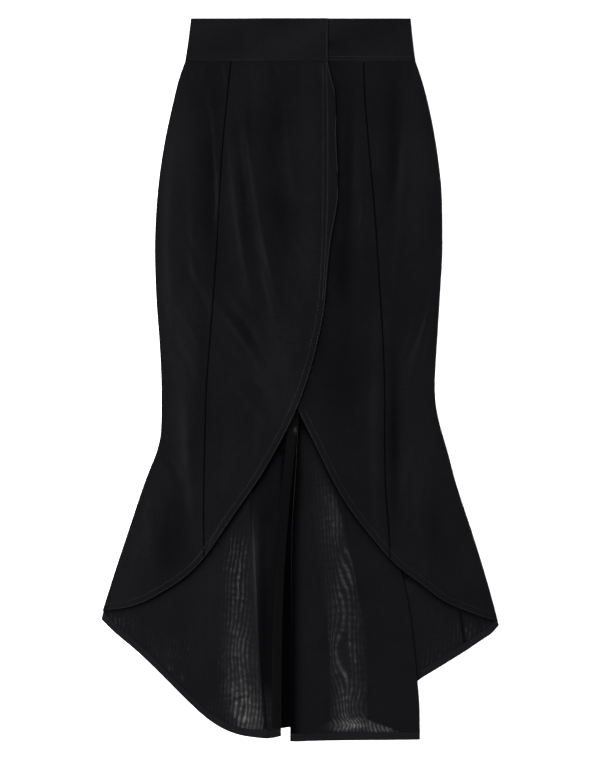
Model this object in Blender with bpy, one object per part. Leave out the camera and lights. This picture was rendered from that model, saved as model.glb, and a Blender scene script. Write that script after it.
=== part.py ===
"""Long fishtail skirt with a wrap front, laid flat with its front side up.

Metres, +Z up. X runs across the skirt, +Y points to the waist, and the cloth lies on Z = 0.
The tables below are in millimetres: "down" is the distance below the waist's top edge, and
"across" is the distance from the middle line, + to the right as the skirt is seen.
"""

import math
from collections import namedtuple

import bmesh
import bpy

MM = 0.001

# Driving sizes, in millimetres
LENGTH = 1119.0  # waist edge to the lowest hem
BAND_DOWN = 66.5  # depth of the waistband
WALL = 1.0  # cloth
BAND_WALL = 1.4  # waistband, two cloths and their stiffening
GAP = 0.3  # between pieces that meet or lie on each other
OVERLAP_GAP = 0.8  # between the two fronts where they wrap
HEM_BAND = 12.0  # width of the turned hem and of the hem facings
HEM_RAISED = 0.5  # the turned hem stands this much above the panel
HEM_STEP = 1.0  # width of the slope up to the turned hem
FACING_WALL = 0.8  # hem facings
BAND_LAP = 43.4  # the waistband's two front ends reach this far past the middle
SMOOTH_ANGLE = 40.0  # edges sharper than this many degrees stay crisp

# Cells down and across each piece
FRONT_ROWS = 32
UPPER_ROWS = 8  # the back above the godet
GODET_ROWS = 28  # shared by the back's centre panels
FRONT_CENTRE_CELLS = 12
FRONT_SIDE_CELLS = 8
BACK_SIDE_CELLS = 12
BACK_CENTRE_CELLS = 6
BAND_CELLS = 6
BAND_STEPPED_CELLS = 16
FLAP_CELLS = 22
RETURN_CELLS = 4
TURN_POINTS = 5  # round each fold of the godet

# The godet: it starts under the fronts, its seams end a little above the lowest hem
GODET_TOP = 576.0
NOTCH_TOP = 568.0  # where the back's centre seam opens for it
NOTCH_SEAM_TOP = 545.0  # the same row of points at the right back princess seam
NOTCH_SEAM_END = 553.0
UNDERLAY_HEM = 1100.0
UNDER_FOLD_HEM = 1089.0
RIGHT_FOLD_HEM = 1117.0
RETURN_FOLD_HEM = 1086.0
RIGHT_SEAM_HEM = 1081.0
FLAP_CLEAR = 187.5  # the right facing starts beside the godet's flap
ROLL_RISE = 120.0  # the flap's roll comes up over this distance
ROLL_SHARE = 0.16  # and fades over this share of the flap's width
SAG_START = 700.0
SAG_RISE = 200.0
SAG_AT = 0.52  # its trough, as a share of the width
FOLD_SOFT = 0.35  # a taller fold also bulges sideways by this share

# The lower front's turned hem stands up from where the upper front uncovers it
HEM_SHOWS = 585.0
HEM_FADE = 40.0

Station = namedtuple("Station", "down left right")
Edge = namedtuple("Edge", "down across")
Fold = namedtuple("Fold", "name across0 down0 across1 down1 bow half_width height")
Layer = namedtuple("Layer", "name start end hem_start hem_end level steps")
Lift = namedtuple("Lift", "down height")
Tint = namedtuple("Tint", "red green blue roughness")
Spot = namedtuple("Spot", "stretch across down height")

SHELL = Tint(0.012, 0.012, 0.014, 0.55)
SHEER = Tint(0.016, 0.016, 0.018, 0.5)
BAND = Tint(0.011, 0.011, 0.013, 0.6)
FACING = Tint(0.009, 0.009, 0.011, 0.6)

# The laid skirt's two side seams: nipped waist, hip, knee, then the flare
OUTLINE = (
    Station(0.0, -169.0, 171.3),
    Station(66.0, -177.8, 178.7),
    Station(73.6, -182.1, 182.1),
    Station(131.0, -196.9, 198.4),
    Station(205.4, -212.4, 212.4),
    Station(279.8, -221.7, 220.1),
    Station(354.2, -225.2, 220.9),
    Station(428.6, -223.2, 217.0),
    Station(503.0, -217.8, 212.4),
    Station(577.4, -214.7, 208.5),
    Station(614.6, -214.7, 212.4),
    Station(651.8, -216.2, 223.2),
    Station(664.2, -217.8, 227.1),
    Station(689.0, -229.4, 233.3),
    Station(726.2, -243.4, 243.4),
    Station(782.0, -262.0, 262.0),
    Station(837.8, -280.6, 279.8),
    Station(893.6, -298.4, 296.0),
    Station(930.8, -308.0, 305.8),
    Station(940.0, -308.0, 308.0),
)

# Wrap edge of the upper front: fly edge, then the curved hem down to the left princess seam
OVER_EDGE = (
    Edge(67.0, 43.4),
    Edge(83.0, 46.5),
    Edge(111.0, 54.3),
    Edge(188.0, 56.6),
    Edge(281.0, 58.9),
    Edge(306.0, 55.0),
    Edge(343.0, 48.1),
    Edge(390.0, 42.9),
    Edge(449.0, 38.0),
    Edge(498.0, 28.4),
    Edge(545.0, 16.3),
    Edge(591.0, 0.8),
    Edge(638.0, -20.5),
    Edge(670.0, -37.7),
    Edge(710.0, -60.8),
    Edge(739.0, -80.9),
    Edge(776.0, -107.0),
    Edge(808.0, -128.4),
    Edge(835.0, -147.6),
)

# Wrap edge of the lower front: hidden under the upper one, then its curved hem
UNDER_EDGE = (
    Edge(67.0, -43.4),
    Edge(281.0, -58.0),
    Edge(449.0, -41.9),
    Edge(498.0, -32.6),
    Edge(545.0, -21.7),
    Edge(591.0, -8.6),
    Edge(606.0, -3.7),
    Edge(667.0, 26.4),
    Edge(715.0, 49.6),
    Edge(750.0, 69.8),
    Edge(782.0, 92.9),
    Edge(808.0, 114.0),
    Edge(837.0, 138.6),
)

OVER_SEAM = (
    Edge(67.0, -107.0),
    Edge(136.0, -114.1),
    Edge(212.0, -120.9),
    Edge(312.0, -126.2),
    Edge(443.0, -134.9),
    Edge(535.0, -142.3),
    Edge(580.0, -145.1),
    Edge(661.0, -147.3),
    Edge(762.0, -149.1),
    Edge(835.0, -148.3),
)

UNDER_SEAM = (
    Edge(67.0, 98.7),
    Edge(109.0, 99.7),
    Edge(184.0, 105.4),
    Edge(302.0, 115.8),
    Edge(415.0, 123.2),
    Edge(525.0, 129.6),
    Edge(580.0, 131.0),
    Edge(675.0, 131.0),
    Edge(739.0, 133.0),
    Edge(791.0, 137.3),
    Edge(837.0, 139.5),
)

BACK_LEFT_SEAM = (
    Edge(67.0, -88.4),
    Edge(281.0, -93.0),
    Edge(436.0, -90.0),
    Edge(591.0, -83.7),
    Edge(739.0, -76.6),
    Edge(819.0, -72.2),
    Edge(934.0, -66.7),
    Edge(985.0, -63.6),
    Edge(1061.0, -55.8),
    Edge(1115.0, -52.0),
)

BACK_RIGHT_SEAM = (
    Edge(67.0, 88.4),
    Edge(281.0, 89.9),
    Edge(436.0, 102.3),
    Edge(560.0, 133.3),
    Edge(669.0, 173.6),
    Edge(777.0, 210.8),
    Edge(863.0, 235.6),
    Edge(920.0, 248.0),
    Edge(980.0, 256.5),
)

# Centre back seam, then the godet's seam on the left back
CENTRE_LEFT = (
    Edge(67.0, 0.0),
    Edge(560.0, 0.0),
    Edge(594.0, -1.6),
    Edge(669.0, -8.5),
    Edge(746.0, -16.3),
    Edge(839.0, -24.0),
    Edge(932.0, -28.2),
    Edge(1025.0, -29.5),
    Edge(1112.0, -29.5),
)

# Centre back seam, then the godet's seam on the right back, hidden under the godet's fold
CENTRE_RIGHT = (
    Edge(67.0, 0.0),
    Edge(568.0, 0.0),
    Edge(574.0, 12.8),
    Edge(594.0, 21.5),
    Edge(638.0, 30.5),
    Edge(684.0, 44.5),
    Edge(762.0, 67.5),
    Edge(839.0, 86.5),
    Edge(911.0, 100.5),
    Edge(954.0, 108.5),
    Edge(1011.0, 110.0),
    Edge(1081.0, 110.5),
)

# The godet's fold lines
GODET_LEFT_FOLD = (
    Edge(576.0, -2.6),
    Edge(612.0, -3.1),
    Edge(698.0, -6.5),
    Edge(793.0, -12.4),
    Edge(901.0, -13.6),
    Edge(1119.0, -14.0),
)
GODET_UNDER_FOLD = (
    Edge(576.0, 3.4),
    Edge(669.0, 10.0),
    Edge(773.0, 18.6),
    Edge(863.0, 31.0),
    Edge(963.0, 43.4),
    Edge(1119.0, 46.5),
)
GODET_RETURN_FOLD = (
    Edge(576.0, 8.2),
    Edge(638.0, 24.8),
    Edge(684.0, 38.8),
    Edge(762.0, 62.0),
    Edge(839.0, 80.6),
    Edge(911.0, 94.6),
    Edge(954.0, 102.5),
    Edge(1011.0, 104.4),
    Edge(1119.0, 105.0),
)
GODET_RIGHT_FOLD = (
    Edge(576.0, 14.0),
    Edge(594.0, 27.9),
    Edge(638.0, 54.3),
    Edge(700.0, 96.0),
    Edge(777.0, 131.8),
    Edge(858.0, 156.6),
    Edge(911.0, 168.3),
    Edge(969.0, 175.5),
    Edge(1011.0, 180.0),
    Edge(1079.0, 185.2),
    Edge(1119.0, 185.2),
)

# Hems, from left to right
FRONT_LEFT_HEM = (
    Edge(918.5, -305.6),
    Edge(916.0, -296.7),
    Edge(913.0, -268.2),
    Edge(902.9, -239.2),
    Edge(887.0, -210.3),
    Edge(872.7, -187.6),
    Edge(854.0, -164.3),
    Edge(835.0, -148.6),
)
FRONT_RIGHT_HEM = (
    Edge(837.0, 139.8),
    Edge(851.1, 153.3),
    Edge(874.0, 184.5),
    Edge(905.7, 227.9),
    Edge(915.3, 251.1),
    Edge(923.0, 271.3),
    Edge(928.5, 286.8),
    Edge(934.5, 305.4),
)
BACK_SIDE_LEFT_HEM = (
    Edge(930.8, -308.0),
    Edge(938.5, -303.8),
    Edge(954.0, -285.2),
    Edge(973.4, -260.4),
    Edge(995.9, -235.6),
    Edge(1033.0, -198.4),
    Edge(1070.3, -161.2),
    Edge(1091.2, -136.4),
    Edge(1104.4, -111.6),
    Edge(1112.1, -86.8),
    Edge(1115.0, -52.2),
)
BACK_SIDE_RIGHT_HEM = (
    Edge(980.0, 256.7),
    Edge(968.8, 272.8),
    Edge(952.5, 297.6),
    Edge(946.3, 305.4),
    Edge(940.0, 308.0),
)
BACK_CENTRE_RIGHT_HEM = (
    Edge(1081.0, 110.5),
    Edge(1067.2, 131.8),
    Edge(1047.0, 155.0),
    Edge(1025.3, 182.9),
    Edge(1008.3, 210.8),
    Edge(980.0, 256.4),
)

BACK_CENTRE_LEFT_HEM = (
    Edge(1115.0, -52.0),
    Edge(1114.6, -43.0),
    Edge(1112.0, -29.5),
)

# Height of the fronts' inner face above the back, at their middle
FRONT_LIFT = (
    Lift(67.0, 0.4),
    Lift(130.0, 1.0),
    Lift(300.0, 1.8),
    Lift(480.0, 2.6),
    Lift(560.0, 3.4),
    Lift(640.0, 3.7),
    Lift(940.0, 3.7),
)
# The same at the side seams: the lower corners clear the hem facings
SEAM_LIFT = (
    Lift(67.0, 0.4),
    Lift(820.0, 0.4),
    Lift(900.0, 1.3),
    Lift(940.0, 1.3),
)
LIFT_RAMP = 62.0  # the fronts come down to the back over this distance from each side seam
WRAP_RAMP = 46.0  # the upper front comes down off the lower one over this distance
WRAP_CLEAR = 13.0  # and is fully up this far before the lower one's edge

# The folds fade out over these distances from a side seam, the waist seam and the back's edges
CALM_SIDE = 40.0
CALM_WAIST = 50.0
CALM_BACK = 14.0
FOLD_FADE = 0.3  # and over this share of their length at each end

# Soft ridges (+) and troughs (-) of the laid fronts
FRONT_FOLDS = (
    Fold("hip ridge beside the left seam", -88.0, 100.0, -8.0, 515.0, -12.0, 13.0, 1.3),
    Fold("second ridge towards the knee", -99.0, 190.0, -59.0, 495.0, -11.0, 10.0, 1.0),
    Fold("trough below the band", -64.0, 95.0, -20.0, 330.0, -8.0, 15.0, -1.0),
    Fold("trough beside the second ridge", -80.0, 250.0, -42.0, 440.0, -8.0, 9.0, -0.8),
    Fold("knee crease on the left", -118.0, 532.0, -58.0, 594.0, 3.0, 7.0, -1.1),
    Fold("ridge above the knee crease", -112.0, 508.0, -62.0, 545.0, 2.0, 9.0, 0.9),
    Fold("left side trough", -156.0, 90.0, -140.0, 350.0, 4.0, 13.0, -0.8),
    Fold("left side ridge", -196.0, 140.0, -196.0, 560.0, -6.0, 16.0, 0.7),
    Fold("left side drag line", -182.0, 380.0, -142.0, 462.0, 3.0, 7.0, -0.8),
    Fold("left flare trough", -190.0, 690.0, -168.0, 860.0, 5.0, 14.0, -0.9),
    Fold("left flare ridge", -178.0, 560.0, -158.0, 840.0, 0.0, 12.0, 0.6),
    Fold("trough beside the fly", 72.0, 120.0, 62.0, 330.0, 0.0, 11.0, -0.8),
    Fold("ridge beside the right seam", 84.0, 170.0, 96.0, 420.0, 3.0, 10.0, 0.8),
    Fold("right side ridge", 172.0, 190.0, 132.0, 470.0, 6.0, 13.0, 1.0),
    Fold("right side trough", 150.0, 90.0, 128.0, 320.0, 4.0, 12.0, -0.8),
    Fold("right knee crease", 192.0, 410.0, 134.0, 578.0, 4.0, 8.0, -1.3),
    Fold("ridge below the right knee crease", 202.0, 440.0, 158.0, 600.0, 4.0, 9.0, 1.0),
    Fold("right flare ridge", 120.0, 540.0, 122.0, 790.0, 0.0, 12.0, 0.6),
    Fold("right flare trough", 152.0, 600.0, 150.0, 800.0, 4.0, 12.0, -0.9),
    Fold("right flare outer ridge", 190.0, 650.0, 214.0, 860.0, -5.0, 13.0, 0.8),
)

FLAP_ROLL = 5.5  # the godet's left fold stands up this much as a soft roll
FLAP_SAG = 0.5

# Soft ridges of the back where it shows below the fronts
BACK_FOLDS = (
    Fold("ridge beside the godet", -60.0, 690.0, -58.0, 1230.0, 0.0, 15.0, 6.5),
    Fold("ridge in the left flare", -112.0, 830.0, -106.0, 1180.0, 2.0, 20.0, 2.6),
    Fold("ridge at the left corner", -226.0, 880.0, -206.0, 1080.0, 0.0, 18.0, 1.6),
    Fold("ridge in the right flare", 226.0, 860.0, 236.0, 1040.0, 0.0, 14.0, 1.8),
)


def smooth(share):
    """0 to 1 with level ends."""
    share = min(1.0, max(0.0, share))
    return share * share * (3.0 - 2.0 * share)


def track(table, key=0, value=1):
    """A smooth line through a table's rows that never overshoots them."""
    rows = sorted(table, key=lambda row: row[key])
    at = [row[key] for row in rows]
    to = [row[value] for row in rows]
    runs = [at[k + 1] - at[k] for k in range(len(at) - 1)]
    rises = [(to[k + 1] - to[k]) / runs[k] for k in range(len(runs))]
    slopes = [rises[0]]
    for before, after in zip(rises, rises[1:]):
        slopes.append(0.0 if before * after <= 0 else 2 * before * after / (before + after))
    slopes.append(rises[-1])

    def read(place):
        k = 0
        while k < len(runs) - 1 and place > at[k + 1]:
            k += 1
        share = (place - at[k]) / runs[k]
        if share < 0 or share > 1:
            share = min(1.0, max(0.0, share))
        s2, s3 = share * share, share ** 3
        return (
            (2 * s3 - 3 * s2 + 1) * to[k]
            + (s3 - 2 * s2 + share) * runs[k] * slopes[k]
            + (3 * s2 - 2 * s3) * to[k + 1]
            + (s3 - s2) * runs[k] * slopes[k + 1]
        )

    return read


left_side = track(OUTLINE, 0, 1)
right_side = track(OUTLINE, 0, 2)
over_edge = track(OVER_EDGE)
under_edge = track(UNDER_EDGE)
over_seam = track(OVER_SEAM)
under_seam = track(UNDER_SEAM)
back_left_seam = track(BACK_LEFT_SEAM)
back_right_seam = track(BACK_RIGHT_SEAM)
centre_left = track(CENTRE_LEFT)
centre_right = track(CENTRE_RIGHT)
front_lift = track(FRONT_LIFT)
seam_lift = track(SEAM_LIFT)


def relief(folds, across, down):
    """Height that the soft folds add at a place."""
    total = 0.0
    for fold in folds:
        run_x, run_d = fold.across1 - fold.across0, fold.down1 - fold.down0
        length = math.hypot(run_x, run_d)
        away_x, away_d = across - fold.across0, down - fold.down0
        along = (away_x * run_x + away_d * run_d) / length ** 2
        if not 0.0 < along < 1.0:
            continue
        aside = (away_x * run_d - away_d * run_x) / length - fold.bow * 4 * along * (1 - along)
        fade = smooth(along / FOLD_FADE) * smooth((1 - along) / FOLD_FADE)
        total += fold.height * fade * math.exp(-((aside / fold.half_width) ** 2))
    return total


def seam_calm(across, down):
    """0 at a side seam and at the waist seam, 1 a little way inside."""
    inside = min(across - left_side(down), right_side(down) - across)
    return smooth(inside / CALM_SIDE) * smooth((down - BAND_DOWN) / CALM_WAIST)


def front_under_face(across, down):
    """Height of the lower front's inner face."""
    inside = min(across - left_side(down), right_side(down) - across)
    low = seam_lift(down)
    lift = low + (front_lift(down) - low) * smooth(inside / LIFT_RAMP)
    folds = relief(FRONT_FOLDS, across, down) * seam_calm(across, down)
    return WALL + GAP + lift + max(folds, -0.8 * (lift - low))


def front_over_face(across, down):
    """Height of the upper front's inner face: it steps up where the lower front is below it."""
    on_top = smooth((across - under_edge(down) + WRAP_RAMP) / (WRAP_RAMP - WRAP_CLEAR))
    return front_under_face(across, down) + (WALL + OVERLAP_GAP) * on_top


def back_face(across, down):
    """Height of the back's under face: on the floor but for its soft ridges."""
    to_seam = abs(across - centre_left(down)) if across < 0 else abs(across - centre_right(down))
    inside = min(across - left_side(down), right_side(down) - across, to_seam)
    return max(0.0, relief(BACK_FOLDS, across, down)) * smooth(inside / CALM_BACK)


def place(across, down, height):
    """A point of the laid skirt, in metres, with the origin under its middle."""
    return (across * MM, (LENGTH / 2 - down) * MM, height * MM)


def cloth(name, tint):
    """A plain cloth material for one piece."""
    material = bpy.data.materials.new(name + "_cloth")
    material.use_nodes = True
    shader = material.node_tree.nodes["Principled BSDF"]
    shader.inputs["Base Color"].default_value = (tint.red, tint.green, tint.blue, 1.0)
    shader.inputs["Roughness"].default_value = tint.roughness
    shader.inputs["Metallic"].default_value = 0.0
    return material


def wall(name, outer, inner, tint):
    """A closed wall: a grid laid on the outer points, extruded, its new side laid on the inner points."""
    rows, columns = len(outer), len(outer[0])
    sheet = bmesh.new()
    bmesh.ops.create_grid(sheet, x_segments=columns - 1, y_segments=rows - 1, size=0.5)
    grown = bmesh.ops.extrude_face_region(sheet, geom=sheet.faces[:])
    inside = {item for item in grown["geom"] if isinstance(item, bmesh.types.BMVert)}
    for vert in sheet.verts:
        row = round((0.5 - vert.co.y) * (rows - 1))
        column = round((0.5 + vert.co.x) * (columns - 1))
        vert.co = inner[row][column] if vert in inside else outer[row][column]
    bmesh.ops.recalc_face_normals(sheet, faces=sheet.faces[:])
    mesh = bpy.data.meshes.new(name)
    sheet.to_mesh(mesh)
    sheet.free()
    mesh.materials.append(cloth(name, tint))
    mesh.shade_smooth()
    mesh.set_sharp_from_angle(angle=math.radians(SMOOTH_ANGLE))
    piece = bpy.data.objects.new(name, mesh)
    bpy.context.scene.collection.objects.link(piece)
    return piece


def spread(start, end, steps):
    """Evenly spaced values, both ends included."""
    return [start + (end - start) * k / steps for k in range(steps + 1)]


def panel(name, grid, face, tint, thickness=WALL, raised=None):
    """A panel: a grid of (across, down) places, the height of its inner face, and its wall."""
    inner, outer = [], []
    for i, row in enumerate(grid):
        inner.append([place(x, d, face(x, d)) for x, d in row])
        outer.append([
            place(x, d, face(x, d) + thickness + (raised[i][j] if raised else 0.0))
            for j, (x, d) in enumerate(row)
        ])
    return wall(name, outer, inner, tint)


def strip_columns(start, end, steps, band_at_end):
    """Places across a centre panel, with the turned hem's band at one side, and which are raised."""
    width = end - start
    band = min(HEM_BAND, 0.45 * width)
    step = min(HEM_STEP, 0.1 * width)
    if band_at_end:
        places = spread(start, end - band - step, steps) + [end - band, end]
        return places, [0.0] * (steps + 1) + [HEM_RAISED, HEM_RAISED]
    places = [start, start + band] + spread(start + band + step, end, steps)
    return places, [HEM_RAISED, HEM_RAISED] + [0.0] * (steps + 1)


def centre_grid(downs, left, right, steps, band_at_end):
    """Rows straight across from one edge to the other, each edge moved in by half a gap."""
    grid, raised = [], []
    for down in downs:
        start, end = left(down) + GAP / 2, right(down) - GAP / 2
        places, heights = strip_columns(start, max(end, start + 0.6), steps, band_at_end)
        grid.append([(x, down) for x in places])
        raised.append(heights)
    return grid, raised


def hem_reader(table):
    """The hem as (across, down) at a share of its length across."""
    hem = track(table, 1, 0)
    start, end = min(row.across for row in table), max(row.across for row in table)

    def read(share):
        across = start + (end - start) * share
        return across, hem(across)

    return read


def side_grid(left, right, left_downs, right_downs, hem, shares):
    """Rows from one seam to the other that turn into the hem's curve at the bottom."""
    low_left, low_right = left(left_downs[-1]), right(right_downs[-1])
    grid = []
    for k, (left_down, right_down) in enumerate(zip(left_downs, right_downs)):
        pull = (k / (len(left_downs) - 1)) ** 4
        start = left(left_down) + GAP / 2
        end = right(right_down) - GAP / 2
        row = []
        for share in shares:
            x = start + (end - start) * share
            d = left_down + (right_down - left_down) * share
            if 0.0 < share < 1.0:
                hem_x, hem_d = hem(share)
                x += pull * (hem_x - low_left - (low_right - low_left) * share)
                d += pull * (hem_d - left_downs[-1] - (right_downs[-1] - left_downs[-1]) * share)
            row.append((x, d))
        grid.append(row)
    return grid


def towards(above, last, distance):
    """Places this far above the last row, on the way to the row above."""
    row = []
    for (x0, d0), (x1, d1) in zip(above, last):
        share = 1.0 - distance / math.hypot(x1 - x0, d1 - d0)
        row.append((x0 + (x1 - x0) * share, d0 + (d1 - d0) * share))
    return row


def with_band_row(grid):
    """The grid with its last row but one set at the top of the hem facing."""
    return grid[:-2] + [towards(grid[-3], grid[-1], HEM_BAND), grid[-1]]


def with_hem_rows(grid):
    """The grid with two more rows above the last, which mark the turned hem and its slope."""
    above, last = grid[-2], grid[-1]
    step = towards(above, last, HEM_BAND + HEM_STEP)
    grid = grid[:-1] + [step, towards(above, last, HEM_BAND), last]
    raised = [[0.0] * len(last) for _ in grid]
    raised[-1] = [HEM_RAISED] * len(last)
    raised[-2] = [HEM_RAISED] * len(last)
    return grid, raised


def downs_for(end, steps):
    """Rows from the waist seam to an edge's lowest point."""
    return spread(BAND_DOWN + GAP, end, steps)


def godet_downs(hem):
    """The godet's rows: even, then one at the top of the hem facing and one at the hem."""
    band = 1.0 - HEM_BAND / (LENGTH - GODET_TOP)
    shares = spread(0.0, band, GODET_ROWS - 1) + [1.0]
    return [GODET_TOP + (hem - GODET_TOP) * share for share in shares]


def make_waistband():
    """Back stretch, then the two front stretches that wrap."""
    downs = [0.0, BAND_DOWN / 2, BAND_DOWN]
    def under_face(across, down):
        return BAND_WALL + GAP

    def over_face(across, down):
        on_top = smooth((across + BAND_LAP + WRAP_RAMP) / (WRAP_RAMP - WRAP_CLEAR))
        return BAND_WALL + GAP + (BAND_WALL + GAP) * on_top

    def band(start, end, steps):
        return [[(x, d) for x in spread(start(d), end(d), steps)] for d in downs]

    back = band(left_side, right_side, BAND_CELLS)
    panel("waistband_back", back, lambda x, d: 0.0, BAND, BAND_WALL)
    under = band(lambda d: -BAND_LAP, right_side, BAND_CELLS)
    panel("waistband_front_under", under, under_face, BAND, BAND_WALL)
    over = band(left_side, lambda d: BAND_LAP, BAND_STEPPED_CELLS)
    panel("waistband_front_over", over, over_face, BAND, BAND_WALL)


def make_fronts():
    """The two wrapped fronts, each a centre and a side panel joined by a princess seam."""
    side_shares = spread(0.0, 1.0, FRONT_SIDE_CELLS)
    downs = downs_for(OVER_EDGE[-1].down, FRONT_ROWS)
    grid, raised = centre_grid(downs, over_seam, over_edge, FRONT_CENTRE_CELLS, band_at_end=True)
    panel("front_over_centre", grid, front_over_face, SHELL, raised=raised)
    hem = hem_reader(FRONT_LEFT_HEM)
    side_downs = downs_for(FRONT_LEFT_HEM[0].down, FRONT_ROWS)
    grid = side_grid(left_side, over_seam, side_downs, downs, hem, side_shares)
    grid, raised = with_hem_rows(grid)
    panel("front_over_side", grid, front_over_face, SHELL, raised=raised)

    downs = downs_for(UNDER_EDGE[-1].down, FRONT_ROWS)
    grid, raised = centre_grid(downs, under_edge, under_seam, FRONT_CENTRE_CELLS, band_at_end=False)
    raised = [
        [height * smooth((down - HEM_SHOWS) / HEM_FADE) for height in heights]
        for down, heights in zip(downs, raised)
    ]
    panel("front_under_centre", grid, front_under_face, SHELL, raised=raised)
    hem = hem_reader(FRONT_RIGHT_HEM)
    side_downs = downs_for(FRONT_RIGHT_HEM[-1].down, FRONT_ROWS)
    grid = side_grid(under_seam, right_side, downs, side_downs, hem, side_shares)
    grid, raised = with_hem_rows(grid)
    panel("front_under_side", grid, front_under_face, SHELL, raised=raised)


def facing_face(across, down):
    """Height of a hem facing's under face, on top of the back."""
    return back_face(across, down) + WALL + GAP


def make_back():
    """Four back panels, flat on the floor but for soft ridges in the tail, and their hem facings."""
    above = spread(BAND_DOWN + GAP, NOTCH_TOP, UPPER_ROWS)
    rows = UPPER_ROWS + GODET_ROWS + 1
    seam_hem, side_hem = BACK_SIDE_LEFT_HEM[-1].down, BACK_SIDE_LEFT_HEM[0].down
    seam_downs = above + spread(GODET_TOP, seam_hem - HEM_BAND, GODET_ROWS) + [seam_hem]
    side_downs = downs_for(side_hem - HEM_BAND, rows) + [side_hem]
    hem = hem_reader(BACK_SIDE_LEFT_HEM)
    shares = spread(0.0, 1.0, BACK_SIDE_CELLS)
    side = with_band_row(side_grid(left_side, back_left_seam, side_downs, seam_downs, hem, shares))
    panel("back_left_side", side, back_face, SHEER)
    centre_downs = above + godet_downs(UNDERLAY_HEM) + [BACK_CENTRE_LEFT_HEM[-1].down]
    hem = hem_reader(BACK_CENTRE_LEFT_HEM)
    shares = spread(0.0, 1.0, BACK_CENTRE_CELLS)
    centre = side_grid(back_left_seam, centre_left, seam_downs, centre_downs, hem, shares)
    centre = with_band_row(centre)
    panel("back_left_centre", centre, back_face, SHEER)
    strip = [side[k] + centre[k] for k in (-2, -1)]
    panel("hem_facing_left", strip, facing_face, FACING, FACING_WALL)

    rows = UPPER_ROWS + GODET_ROWS
    seam_hem, side_hem = BACK_SIDE_RIGHT_HEM[0].down, BACK_SIDE_RIGHT_HEM[-1].down
    seam_downs = spread(BAND_DOWN + GAP, NOTCH_SEAM_TOP, UPPER_ROWS)
    seam_downs += spread(NOTCH_SEAM_END, seam_hem - HEM_BAND, GODET_ROWS - 1) + [seam_hem]
    side_downs = downs_for(side_hem - HEM_BAND, rows) + [side_hem]
    hem = hem_reader(BACK_SIDE_RIGHT_HEM)
    side = side_grid(back_right_seam, right_side, seam_downs, side_downs, hem, shares)
    side = with_band_row(side)
    panel("back_right_side", side, back_face, SHEER)
    hem = hem_reader(BACK_CENTRE_RIGHT_HEM)
    centre_downs = above + godet_downs(RIGHT_SEAM_HEM)
    start, end = BACK_CENTRE_RIGHT_HEM[0].across, BACK_CENTRE_RIGHT_HEM[-1].across
    clear = (FLAP_CLEAR - start) / (end - start)
    half = BACK_CENTRE_CELLS // 2
    shares = spread(0.0, clear, half) + spread(clear, 1.0, half)[1:]
    centre = side_grid(centre_right, back_right_seam, centre_downs, seam_downs, hem, shares)
    centre = with_band_row(centre)
    panel("back_right_centre", centre, back_face, SHEER)
    strip = [centre[k][half:] + side[k] for k in (-2, -1)]
    panel("hem_facing_right", strip, facing_face, FACING, FACING_WALL)


def godet_layers():
    """The godet's five stretches, from its left seam to its right one."""
    left_fold, under_fold = track(GODET_LEFT_FOLD), track(GODET_UNDER_FOLD)
    return_fold, right_fold = track(GODET_RETURN_FOLD), track(GODET_RIGHT_FOLD)

    def seam_left(down):
        return centre_left(down) + GAP

    def seam_right(down):
        return centre_right(down) - GAP

    return (
        Layer("underlay", seam_left, under_fold, UNDERLAY_HEM, UNDER_FOLD_HEM, 0, RETURN_CELLS),
        Layer("left return", under_fold, left_fold, UNDER_FOLD_HEM, LENGTH, 1, RETURN_CELLS),
        Layer("flap", left_fold, right_fold, LENGTH, RIGHT_FOLD_HEM, 2, FLAP_CELLS),
        Layer("right return", right_fold, return_fold, RIGHT_FOLD_HEM, RETURN_FOLD_HEM, 1, RETURN_CELLS),
        Layer("seam edge", return_fold, seam_right, RETURN_FOLD_HEM, RIGHT_SEAM_HEM, 0, 1),
    )


def flap_height(share, down):
    """The flap's soft roll along its left fold, and a shallow trough."""
    roll = FLAP_ROLL * smooth((down - GODET_TOP) / ROLL_RISE)
    sag = FLAP_SAG * smooth((down - SAG_START) / SAG_RISE)
    roll *= math.exp(-((share / ROLL_SHARE) ** 2))
    return roll - sag * math.exp(-(((share - SAG_AT) / ROLL_SHARE) ** 2))


def layer_height(layer, share, down):
    """Height of a stretch's middle."""
    height = WALL / 2 + (WALL + GAP) * layer.level
    if layer.name == "flap":
        height += flap_height(share, down)
    return height


def godet_line(row):
    """The godet's middle line at a row, as Spots from the left seam to the right one."""
    layers = godet_layers()
    inset = (WALL + GAP) / 2
    line = []
    for index, layer in enumerate(layers):
        for share in spread(0.0, 1.0, layer.steps):
            hem = layer.hem_start + (layer.hem_end - layer.hem_start) * share
            down = godet_downs(hem)[row]
            start, end = layer.start(down), layer.end(down)
            way = 1.0 if end > start else -1.0
            start += way * inset if index > 0 else 0.0
            end -= way * inset if index < len(layers) - 1 else 0.0
            across = start + (end - start) * share
            line.append(Spot(layer.name, across, down, layer_height(layer, share, down)))
        if index < len(layers) - 1:
            line += fold_turn(line[-1], way, layers[index + 1])
    return line


def fold_turn(last, way, following):
    """The round end of a fold, from the last spot of one stretch to the first of the next."""
    high = layer_height(following, 0.0 if following.name == "flap" else 1.0, last.down)
    middle, radius = (last.height + high) / 2, (high - last.height) / 2
    narrow = (WALL + GAP) / 2
    reach = narrow + FOLD_SOFT * (abs(radius) - narrow)
    turns = []
    for k in range(1, TURN_POINTS + 1):
        angle = -math.pi / 2 + math.pi * k / (TURN_POINTS + 1)
        across = last.across + way * reach * math.cos(angle)
        turns.append(Spot("turn", across, last.down, middle + radius * math.sin(angle)))
    return turns


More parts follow.
